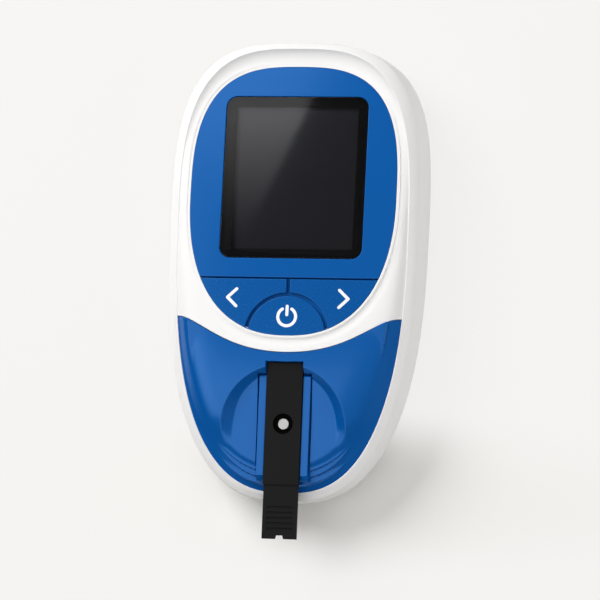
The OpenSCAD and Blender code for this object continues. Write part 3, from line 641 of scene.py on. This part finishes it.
# rows of the front face, as shares of the way from oval to rim, closer at both
FACE_SHARES = np.concatenate([[0, 0.004, 0.01, 0.018, 0.03, 0.045], np.linspace(0.065, 0.9, 30),
                              [0.925, 0.945, 0.96, 0.972, 0.981, 0.988, 0.994, 1.0]])
# rows of the recess wall, each a step out from the oval and a height down from the front face
RECESS_ROWS = [(0.02, -0.04), (0.02, -0.3), (0.02, RECESS_Z - FACE_Z), (-2.2, RECESS_Z - FACE_Z)]
SEAM_IN = 0.22
SEAM_FLANGE = 1.2
SHELL_WALL = 0.9
# depth of the wall down into the fascia's opening, at the least, and what it leaves above the seat
OPENING_WALL = 0.2
OPENING_FOOT = 0.3
OPENING_EDGE = 0.08
# step up to the lip's crest: its height, its width, and how far in from the lip it reaches
STEP_H = 0.12
STEP_W = 0.7
STEP_REACH = 3.2
# bead round the oval and valley beyond it, under the oval only: height, middle and width
BEAD = (0.16, 0.45, 0.4)
BEAD_ROOT_W = 0.18
VALLEY = (0.3, 2.0, 1.1)
SHADED_ANGLE = -78
SHADED = (0.5, 0.95)


def wall_ring(a, share):
    """Ring of the side wall: its lean grows as the 1.9th power of the height's share."""
    q = body_point(a, WALL_LEAN * (share / WALL_TOP) ** WALL_POWER)
    return at_height(q, PART_Z + (rim_z(q[:, 1]) - PART_Z) * share)


def lip_ring(a, d):
    """Ring of the lip, d in from its outside: its top slopes down and out from the crest by
    rise (0.75 t + 0.25 t^3), with t the way out from it, and a small round ends it at its inner edge."""
    q = body_point(a, WALL_LEAN + (SIDE_LEAN - WALL_LEAN) * d / LIP, -d)
    t = 1 - d / CREST
    if d <= CREST:
        drop = (rim_z(q[:, 1]) - PART_Z) * (1 - WALL_TOP) * (0.75 * t + 0.25 * t ** 3)
    else:
        drop = CREST_ROUND * (1 - math.sqrt(max(0.0, 1 - ((d - CREST) / CREST_WIDTH) ** 2)))
    return at_height(q, rim_z(q[:, 1]) - drop)


def hump(d, height, middle, width):
    """A bell-shaped hump across d: height exp(-((d - middle) / width)^2)."""
    return height * np.exp(-((d - middle) / width) ** 2)


def shell_top(x, y):
    """Height of the white front face: the shared form ending in a low step up to the lip's crest,
    and under the oval a fine bead along it and a shallow valley beyond."""
    z, d_in, d_rim = face_height(x, y, FACE_DROP)
    d_rim = np.maximum(d_rim, 0)
    step = STEP_H * (1 - np.exp(-(d_rim / STEP_W) ** 1.4)) * np.exp(-(d_rim / STEP_REACH) ** 2)
    turn = np.arctan2(y - OVAL_Y, x) - math.radians(SHADED_ANGLE)
    shaded = smooth(*SHADED, np.cos(turn)) * smooth(0, 0.1, d_in + 0.05)
    bead = hump(d_in, *BEAD) - hump(d_in, BEAD[0], 0, BEAD_ROOT_W)
    return z - step + (bead - hump(d_in, *VALLEY)) * shaded


def one_skin(sheets):
    """One sheet from several grids of rows, each with whether it closes round and whether its faces
    are turned over: points that two grids share are kept once."""
    points, faces, base = [], [], 0
    for rows, wrap, flip in sheets:
        f = quads(len(rows), len(rows[0]), wrap) + base
        faces.append(f[:, ::-1] if flip else f)
        points.append(np.concatenate(rows))
        base += len(points[-1])
    points = np.concatenate(points)
    _, first, same = np.unique(np.round(points, 5), axis=0, return_index=True, return_inverse=True)
    return points[first], same.reshape(-1)[np.concatenate(faces)]


def opening_wall(top):
    """Rows from a seam's top edge down the wall of the fascia's opening."""
    low = np.minimum(seat_z(top[:, 1]) + OPENING_FOOT, top[:, 2] - OPENING_WALL)
    return [top, top - [0, 0, OPENING_EDGE], at_height(top[:, :2], low)]


def front_shell():
    """The white front shell as one thick sheet: side wall and lip all round, the front face between
    the oval and the rim or the fascia's edge, and the walls of both openings."""
    steps = np.radians(np.arange(0, 360, 0.75))
    rim_xy = body_point(steps, SIDE_LEAN, -LIP)
    seam = body_point(steps, 0, -SEAM_IN)
    side = [at_height(body_point(steps, 0, -SEAM_FLANGE), PART_Z), at_height(seam, PART_Z)]
    side += [wall_ring(steps, s) for s in WALL_SHARES] + [lip_ring(steps, d) for d in LIP_IN]

    above = rim_xy[:, 1] > fascia_edge(CORNER_EDGE_X)
    steps_above = steps[above]
    order = np.argsort(np.where(steps_above > math.radians(270), steps_above - 2 * math.pi, steps_above))
    on_rim = np.nonzero(above)[0][order]
    edge_x = CORNER_EDGE_X * np.sin(np.linspace(-math.pi / 2, math.pi / 2, 181))
    outer = np.concatenate([rim_xy[on_rim], np.column_stack([edge_x, fascia_edge(edge_x) + FASCIA_GAP])])
    polar = np.arctan2(outer[:, 1] - OVAL_Y, outer[:, 0])
    inner = oval_at(polar)
    field = inner[None] + (outer - inner)[None] * FACE_SHARES[:, None, None]
    field[-1] = outer
    field_z = shell_top(field[..., 0], field[..., 1])
    field_z[-1, :len(on_rim)] = side[-1][on_rim, 2]
    face = [at_height(xy, z) for xy, z in zip(field, field_z)][::-1]
    for off, z in RECESS_ROWS:
        top = field_z[0] if z > -0.5 else FACE_Z
        face.append(at_height(oval_at(polar, off), top + z))

    toe = np.nonzero(~above)[0]
    toe = np.concatenate([[toe[0] - 1], toe, [toe[-1] + 1]])
    skin, skin_faces = one_skin([(side, True, False), (face, True, False),
                                 (opening_wall(side[-1][toe]), False, False),
                                 (opening_wall(face[0][len(on_rim):]), False, True)])
    shell = piece("front_shell_moulding", [(skin, [skin_faces])], "white_shell", "housing",
                  ["front_shell"], sharp=38, closed=False)
    thick = shell.modifiers.new("wall", "SOLIDIFY")
    thick.thickness = SHELL_WALL * MM
    thick.offset = -1


front_shell()

# lower fascia
# columns: finer over the tray than beside it, and finest at the strip guide's slot
STEEP_X = 31.5
SLOT_FINE = (7.7, 8.3)
FASCIA_ROWS = 215
ROW_CROWD = 0.12


def mirrored(lo, hi, step):
    """Columns from lo to hi on the right, and from -hi to -lo on the left."""
    return [np.arange(-hi, -lo, step), np.arange(lo, hi, step)]


def tray_height(x, y):
    """Height of the blue lower front. The front surface as a pillow is cut by the dish, whose wall rises
    from the floor as t^1.3 across its width. The tray's floor drops away past a rounded front edge, and
    two terraces below it end at set distances from the lip. A notch behind the strip and the slot for
    the strip's guide are cut last."""
    level = strip_plane(y, 0)
    floor = level - FLOOR_DEPTH
    pillow = face_height(x, y, PILLOW_DROP)[0]
    t = np.clip((np.hypot(x, y - DISH_Y) - DISH_R + DISH_WALL_IN) / DISH_WALL, 0, 1)
    z = floor + np.maximum(0, pillow - floor) * t ** DISH_WALL_POWER
    z = soft_min(pillow, z, DISH_ROUND)

    ahead = np.hypot(x, y - FLOOR_Y)
    to_rim = -in_rim(x, y, LIP)[0]
    front = floor - FLOOR_BEND_DROP * smooth(*FLOOR_BEND, ahead) ** 1.5 - AWAY * smooth(*FLOOR_END, ahead)
    upper = level - UPPER_STEP_DEPTH + UPPER_STEP_RISE * np.maximum(0, y - UPPER_STEP_Y)
    upper -= AWAY * smooth(-UPPER_STEP_END[1], -UPPER_STEP_END[0], to_rim)
    lower = level - LOWER_STEP_DEPTH - AWAY * smooth(-LOWER_STEP_END[1], -LOWER_STEP_END[0], to_rim)
    for step in (front, upper, lower):
        z = soft_max(z, step, STEP_ROUND)

    notch = smooth(NOTCH_HALF, NOTCH_HALF + NOTCH_WALL, np.abs(x))
    notch += smooth(STRIP_TOP_Y + NOTCH_WALL, STRIP_TOP_Y + 2 * NOTCH_WALL, y)
    notch += 1 - smooth(DISH_Y - NOTCH_WALL, DISH_Y, y)
    z = np.where(notch < 1, soft_min(z, floor + AWAY * notch, CUT_ROUND), z)
    half, top_y = GUIDE_HALF + SLOT_GAP, GUIDE_TOP + SLOT_GAP
    slot = smooth(half, half + SLOT_WALL, np.abs(x)) + smooth(top_y, top_y + SLOT_WALL, y)
    return np.where(slot < 1, soft_min(z, level - BED_LOW + AWAY * slot, CUT_ROUND), z)


def lower_fascia():
    """The blue lower front: tray_height over a grid from the fascia's upper edge to the lip, its edge
    rounded as a quarter arc, with a skirt down to the tilted seat."""
    corner = [np.linspace(-CORNER_EDGE_X, -STEEP_X, 30), np.linspace(STEEP_X, CORNER_EDGE_X, 30)]
    cols = np.concatenate([*corner, *mirrored(SLOT_FINE[1], STEEP_X, 0.2), *mirrored(*SLOT_FINE, 0.06),
                           np.arange(-SLOT_FINE[0], SLOT_FINE[0], 0.22)])
    cols = np.unique(np.round(cols, 3))
    lip = body_point(np.radians(np.linspace(180, 360, 4001)), SIDE_LEAN, 0.1 - LIP)
    lip = lip[lip[:, 1] < fascia_edge(CORNER_EDGE_X) + 0.5]
    top_y = fascia_edge(cols)
    low_y = np.minimum(np.interp(cols, lip[:, 0], lip[:, 1]), top_y - 0.02)
    u = np.linspace(0, 1, FASCIA_ROWS)
    u = u - ROW_CROWD * np.sin(2 * math.pi * u) / (2 * math.pi)
    x = np.repeat(cols[None], len(u), 0)
    y = top_y[None] + (low_y - top_y)[None] * u[:, None]

    r = FASCIA_EDGE
    in_from_edge = np.clip(np.minimum(fascia_edge(x) - y, in_rim(x, y, LIP - 0.1)[0]), 0, r)
    rounding = r - np.sqrt(np.maximum(0, r * r - (r - in_from_edge) ** 2))
    z = tray_height(x, y) - FASCIA_EDGE_SHARE * rounding
    top = np.stack([x, y, z], -1).reshape(-1, 3)

    index = np.arange(len(top)).reshape(x.shape)
    loop = np.concatenate([index[0, :], index[1:, -1], index[-1, -2::-1], index[-2:0:-1, 0]])
    skirt = top[loop].copy()
    skirt[:, 2] = seat_z(skirt[:, 1])
    ring = np.arange(len(loop))
    low = len(top) + ring
    side = np.stack([loop, np.roll(loop, -1), np.roll(low, -1), low], -1)
    piece("lower_fascia_moulding",
          [(np.concatenate([top, skirt]), [quads(*x.shape, False), side[:, ::-1], low])],
          "blue_panel", "housing", ["lower_fascia"], sharp=60)


lower_fascia()

# display panel and keys
# web under the keys, and the walls that close the power key's gap: how far out from and in from the
# oval they reach, and how far they stay below the front face
KEY_WEB = 0.4
GAP_WALL_OUT = 0.015
GAP_WALL_IN = 0.25
GAP_WALL_LOW = 0.03


def polar_radius(points, angles):
    """Radius of a star-shaped outline about the window's middle, at given angles."""
    a = np.arctan2(points[:, 1] - LENS_Y, points[:, 0])
    k = np.argsort(a)
    return np.interp(angles, a[k], np.hypot(points[:, 0], points[:, 1] - LENS_Y)[k], period=2 * math.pi)


def panel_outline():
    """The oval above the split line, closed by a straight lower edge."""
    p = oval_at(np.linspace(-math.pi, math.pi, 2400, endpoint=False))
    p = p[p[:, 1] > SPLIT_Y]
    x = np.abs(p[p[:, 1] - SPLIT_Y < 1.0][:, 0]).max()
    return np.concatenate([p, at_height(np.linspace(-x, x, 600)[:, None], SPLIT_Y)])


def panel_loops():
    """Outlines of the panel and its window with a point of each on the same rays from the window's
    middle, two of which go through the panel's sharp corners."""
    outline = panel_outline()
    window = rounded_rect(LENS_W + 2 * LENS_GAP, LENS_H + 2 * LENS_GAP, LENS_Y, LENS_R)
    window = np.concatenate([np.linspace(a, b, 40, endpoint=False)
                             for a, b in zip(window, np.roll(window, -1, 0))])
    corner = math.atan2(SPLIT_Y - LENS_Y, outline[-1, 0])
    angles = np.append(np.linspace(-math.pi, math.pi, 720, endpoint=False), [corner, -math.pi - corner])
    angles = np.sort(angles)
    ray = np.stack([np.cos(angles), np.sin(angles)], -1)
    return [ray * polar_radius(p, angles)[:, None] + [0, LENS_Y] for p in (outline, window)]


def key_outlines():
    """Outlines of the three keys, cut from the oval below the split line by the gaps between them,
    and the right one of the two walls that close the power key's gap at the oval."""
    fine_t = np.linspace(-math.pi / 2, 0, 4001)
    fine = oval_at(fine_t)
    top_y = SPLIT_Y - SPLIT_GAP
    from_power = np.hypot(fine[:, 0], fine[:, 1] - POWER_Y)
    r_out, r_in = POWER_R + KEY_GAP / 2, POWER_R - KEY_GAP / 2
    t_top = np.interp(top_y, fine[:, 1], fine_t)
    t_out, t_in = np.interp([r_out, r_in], from_power, fine_t)
    a_out, a_in = [math.degrees(math.atan2(y - POWER_Y, x)) for x, y in oval_at(np.array([t_out, t_in]))]
    a_middle = math.degrees(math.acos(KEY_GAP / 2 / r_out))
    side = oval_at(np.linspace(t_out, t_top, 90))
    upper_x = np.linspace(side[-1, 0], KEY_GAP / 2, 40)[1:]
    right = np.concatenate([side, at_height(upper_x[:, None], top_y),
                            arc(0, POWER_Y, r_out, a_middle, a_out, 70)[:-1]])
    power = np.concatenate([arc(0, POWER_Y, r_in, a_in, 180 - a_in, 120),
                            oval_at(np.linspace(-math.pi - t_in, t_in, 80))[1:-1]])
    gap_t = np.linspace(t_out, t_in, 16)
    gap_wall = np.concatenate([oval_at(gap_t, GAP_WALL_OUT), oval_at(gap_t[::-1], -GAP_WALL_IN)])
    return {"left_key": (right * [-1, 1])[::-1], "right_key": right, "power_key": power}, gap_wall


def panel_and_keys():
    """The blue panel with its window, the web under the keys and the two gap walls, and the keys."""
    outlines, gap_wall = key_outlines()
    web = oval_at(np.linspace(-math.pi, math.pi, 720, endpoint=False))
    web = web[web[:, 1] < SPLIT_Y - 0.02]
    parts = [window_slab(*panel_loops(), RECESS_Z, FACE_Z, PANEL_EDGE, WINDOW_EDGE),
             slab(web, RECESS_Z, RECESS_Z + KEY_WEB, 0.05)]
    parts += [slab(gap_wall * [side, 1], RECESS_Z + KEY_WEB - 0.1, FACE_Z - GAP_WALL_LOW, 0.01)
              for side in (1, -1)]
    piece("display_panel_moulding", parts, "blue_panel", "housing", ["display_panel"])
    for name, outline in outlines.items():
        piece(name + "_cap", [slab(outline, CAP_LOW, FACE_Z, KEY_EDGE)], "blue_key", name, [name])


panel_and_keys()


# white marks in the keys
def arrow(side):
    """Outline of an arrow sign that points away from the middle: two strokes that meet in a round
    point, with round ends."""
    tip = np.array([ARROW_X + ARROW_AHEAD, ARROW_Y])
    tails = [np.array([ARROW_X - ARROW_BEHIND, ARROW_Y + e * ARROW_HALF_H]) for e in (-1, 1)]
    h = MARK_LINE / 2
    way = tip - tails[0]
    a = math.degrees(math.atan2(way[1], way[0]))
    inner = tip - [h / math.sin(math.radians(a)), 0]
    out = np.concatenate([arc(*tails[0], h, a + 90, a + 270, 13), arc(*tip, h, a - 90, 90 - a, 13),
                          arc(*tails[1], h, 90 - a, 270 - a, 13), [inner]])
    return out if side > 0 else (out * [-1, 1])[::-1]


power_ring = arc(0, POWER_MARK_Y, POWER_RING_R, 90 + POWER_MOUTH, 450 - POWER_MOUTH, 90)
power_bar = np.column_stack([np.zeros(8), POWER_MARK_Y + np.linspace(*POWER_BAR, 8)])
signs = {"left": [arrow(-1)], "right": [arrow(1)],
         "power": [stroke(power_ring, MARK_LINE), stroke(power_bar, MARK_LINE)]}
for name, outlines in signs.items():
    inlay = [slab(o, FACE_Z - MARK_DEPTH, FACE_Z + MARK_PROUD, MARK_PROUD) for o in outlines]
    piece(name + "_mark_inlay", inlay, "white_mark", name + "_key", [name + "_mark"])

# display lens
lens = slab(rounded_rect(LENS_W, LENS_H, LENS_Y, LENS_R), RECESS_Z + TAPE_T, LENS_TOP, LENS_EDGE)
piece("display_lens_moulding", [lens], "lens", "housing", ["display_lens"])

# softened edges, by their width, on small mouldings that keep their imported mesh
EDGE_WIDTHS = {"strip_guide": 0.15, "strip_body": 0.08, "strip_cover": 0.1, "battery_door": 0.2}
WELD_MM = 0.002
for name, width in EDGE_WIDTHS.items():
    weld = nodes[name].modifiers.new("weld", "WELD")
    weld.merge_threshold = WELD_MM * MM
    bevel = nodes[name].modifiers.new("edges", "BEVEL")
    bevel.width = width * MM
    bevel.segments = 2
    bevel.limit_method = "ANGLE"
    bevel.angle_limit = math.radians(35)
    bevel.harden_normals = False


# stage, lights and camera, in metres
FLOOR_REACH = 3.0
SHADOW_PLACE = (0.018, -0.058, 0.0)
SHADOW_SIZE = (0.08, 0.02, 1.0)
CARD_Z = 0.12


def flat_mesh(name, corners, z=0.0):
    """A flat stage piece from its corners."""
    mesh = bpy.data.meshes.new(name)
    mesh.from_pydata([(x, y, z) for x, y in corners], [], [tuple(range(len(corners)))])
    obj = bpy.data.objects.new(name, mesh)
    bpy.context.scene.collection.objects.link(obj)
    return obj


def paper_floor():
    """Pale paper. The eye and reflections see it mostly as its own even tone, so that shadows stay
    soft, and more of the shadow shows inside an oval beside the strip end."""
    paper, tree = new_tree("pale_paper_sweep")
    place = add(tree, "ShaderNodeTexCoord").outputs["Object"]
    fibre = add(tree, "ShaderNodeTexNoise", {"Scale": 1 / (0.6 * MM), "Detail": 2.0}, {"Vector": place})
    bump = add(tree, "ShaderNodeBump", {"Strength": 0.5, "Distance": 0.005 * MM},
               {"Height": fibre.outputs[0]})
    matt = add(tree, "ShaderNodeBsdfDiffuse", {"Color": linear("F3F2EF")}, {"Normal": bump.outputs[0]})
    even = add(tree, "ShaderNodeEmission", {"Color": linear("F5F4F2")})
    oval = add(tree, "ShaderNodeMapping",
               {"vector_type": "TEXTURE", "Location": SHADOW_PLACE, "Scale": SHADOW_SIZE}, {"Vector": place})
    away = add(tree, "ShaderNodeVectorMath", {"operation": "LENGTH"}, {0: oval.outputs[0]})
    share = add(tree, "ShaderNodeMapRange", {"interpolation_type": "SMOOTHSTEP", "From Min": 0.4,
                                             "From Max": 1.35, "To Min": 0.03, "To Max": 0.88},
                {"Value": away.outputs["Value"]})
    rays = add(tree, "ShaderNodeLightPath")
    seen = add(tree, "ShaderNodeMath", {"operation": "ADD"},
               {0: rays.outputs["Is Camera Ray"], 1: rays.outputs["Is Glossy Ray"]})
    seen = add(tree, "ShaderNodeMath", {"operation": "ADD", "use_clamp": True},
               {0: seen.outputs[0], 1: rays.outputs["Is Transmission Ray"]})
    share = add(tree, "ShaderNodeMath", {"operation": "MULTIPLY"}, {0: seen.outputs[0], 1: share.outputs[0]})
    both = add(tree, "ShaderNodeMixShader", {},
               {0: share.outputs[0], 1: matt.outputs[0], 2: even.outputs[0]})
    add(tree, "ShaderNodeOutputMaterial", {}, {"Surface": both.outputs[0]})
    far = FLOOR_REACH
    floor = flat_mesh("floor", [(-far, -far), (far, -far), (far, far), (-far, far)])
    floor.data.materials.append(paper)


def lamp(name, place, aim, width, height, watts):
    """A soft rectangular lamp at place, turned to aim."""
    light = bpy.data.lights.new(name, "AREA")
    light.shape = "RECTANGLE"
    light.size = width
    light.size_y = height
    light.energy = watts
    obj = bpy.data.objects.new(name, light)
    obj.location = place
    obj.rotation_mode = "QUATERNION"
    obj.rotation_quaternion = (Vector(aim) - Vector(place)).to_track_quat("-Z", "Y")
    obj.visible_glossy = False
    bpy.context.scene.collection.objects.link(obj)


def gloss_card(name, corners):
    """A lit card over the meter that only glossy reflections see; its material's tree comes back."""
    card = flat_mesh(name, corners, CARD_Z)
    card.visible_camera = False
    card.visible_diffuse = False
    card.visible_shadow = False
    card.visible_transmission = False
    material, tree = new_tree(name + "_light")
    card.data.materials.append(material)
    return tree


def upper_card():
    """The card whose slanting right edge lies across the screen. It is brightest at its far end and
    in a band beside the meter, and dark toward the strip end."""
    tree = gloss_card("upper_card", [(0.0160, 0.1540), (-0.9, 0.60), (-0.9, -0.45), (-0.0780, -0.0610)])
    place = add(tree, "ShaderNodeTexCoord").outputs["Object"]
    where = add(tree, "ShaderNodeSeparateXYZ", {}, {0: place})
    far = add(tree, "ShaderNodeMapRange", {"From Min": 0.025, "From Max": 0.07},
              {"Value": where.outputs["Y"]})
    far = add(tree, "ShaderNodeMath", {"operation": "POWER", 1: 1.6}, {0: far.outputs[0]})
    far = add(tree, "ShaderNodeMath", {"operation": "MULTIPLY", 1: 1.28}, {0: far.outputs[0]})
    rise = add(tree, "ShaderNodeMapRange", {"From Min": -0.042, "From Max": -0.085, "To Min": 0.0,
                                            "To Max": 1.8}, {"Value": where.outputs["X"]})
    fade = add(tree, "ShaderNodeMapRange", {"From Min": -0.11, "From Max": -0.19, "To Min": 1.0,
                                            "To Max": 0.0}, {"Value": where.outputs["X"]})
    band = add(tree, "ShaderNodeMath", {"operation": "MULTIPLY"}, {0: rise.outputs[0], 1: fade.outputs[0]})
    most = add(tree, "ShaderNodeMath", {"operation": "MAXIMUM"}, {0: far.outputs[0], 1: band.outputs[0]})
    glow = add(tree, "ShaderNodeEmission", {}, {"Strength": most.outputs[0]})
    add(tree, "ShaderNodeOutputMaterial", {}, {"Surface": glow.outputs[0]})


def lower_card():
    """The card that gives the lower fascia and the dish their sheen."""
    tree = gloss_card("lower_card", [(0.006, -0.012), (-0.058, -0.012), (-0.1, -0.12), (0.006, -0.12)])
    glow = add(tree, "ShaderNodeEmission", {"Strength": 1.1})
    add(tree, "ShaderNodeOutputMaterial", {}, {"Surface": glow.outputs[0]})


paper_floor()
METER = (0, 0, 0.02)
lamp("key_softbox", (-0.45, 0.42, 0.55), METER, 0.5, 0.5, 5.6)
lamp("overhead_softbox", (0.1, -0.05, 1.1), METER, 1.4, 1.4, 6.6)
lamp("side_fill", (0.9, -0.2, 0.45), METER, 0.8, 0.6, 2.8)
upper_card()
lower_card()

world = bpy.data.worlds.new("studio")
bpy.context.scene.world = world
world.use_nodes = True
world.node_tree.nodes.clear()
sky = add(world.node_tree, "ShaderNodeBackground", {"Color": linear("FFFFFF"), "Strength": 0.08})
add(world.node_tree, "ShaderNodeOutputWorld", {}, {"Surface": sky.outputs[0]})

# camera: where it stands, the turns of its view in degrees, and its lens and sensor in millimetres
CAMERA_PLACE = (0.2757, -0.18935, 1.2132)
CAMERA_TURNS = (55.66, 74.52, -53.71)
CAMERA_LENS = 252.0
CAMERA_SENSOR = 36.0
azimuth, elevation, roll = map(math.radians, CAMERA_TURNS)
across, height = math.cos(elevation), math.sin(elevation)
back = Vector((math.sin(azimuth) * across, -math.cos(azimuth) * across, height))
level = Vector((math.cos(azimuth), math.sin(azimuth), 0))
right = level * math.cos(roll) + back.cross(level) * math.sin(roll)
camera_data = bpy.data.cameras.new("camera")
camera_data.lens = CAMERA_LENS
camera_data.sensor_width = CAMERA_SENSOR
camera_data.clip_start = 0.05
camera_data.clip_end = 20.0
camera = bpy.data.objects.new("camera", camera_data)
turned = Matrix((right, back.cross(right), back)).transposed().to_4x4()
camera.matrix_world = Matrix.Translation(CAMERA_PLACE) @ turned
bpy.context.scene.collection.objects.link(camera)
bpy.context.scene.camera = camera
bpy.context.scene.view_settings.view_transform = "Standard"
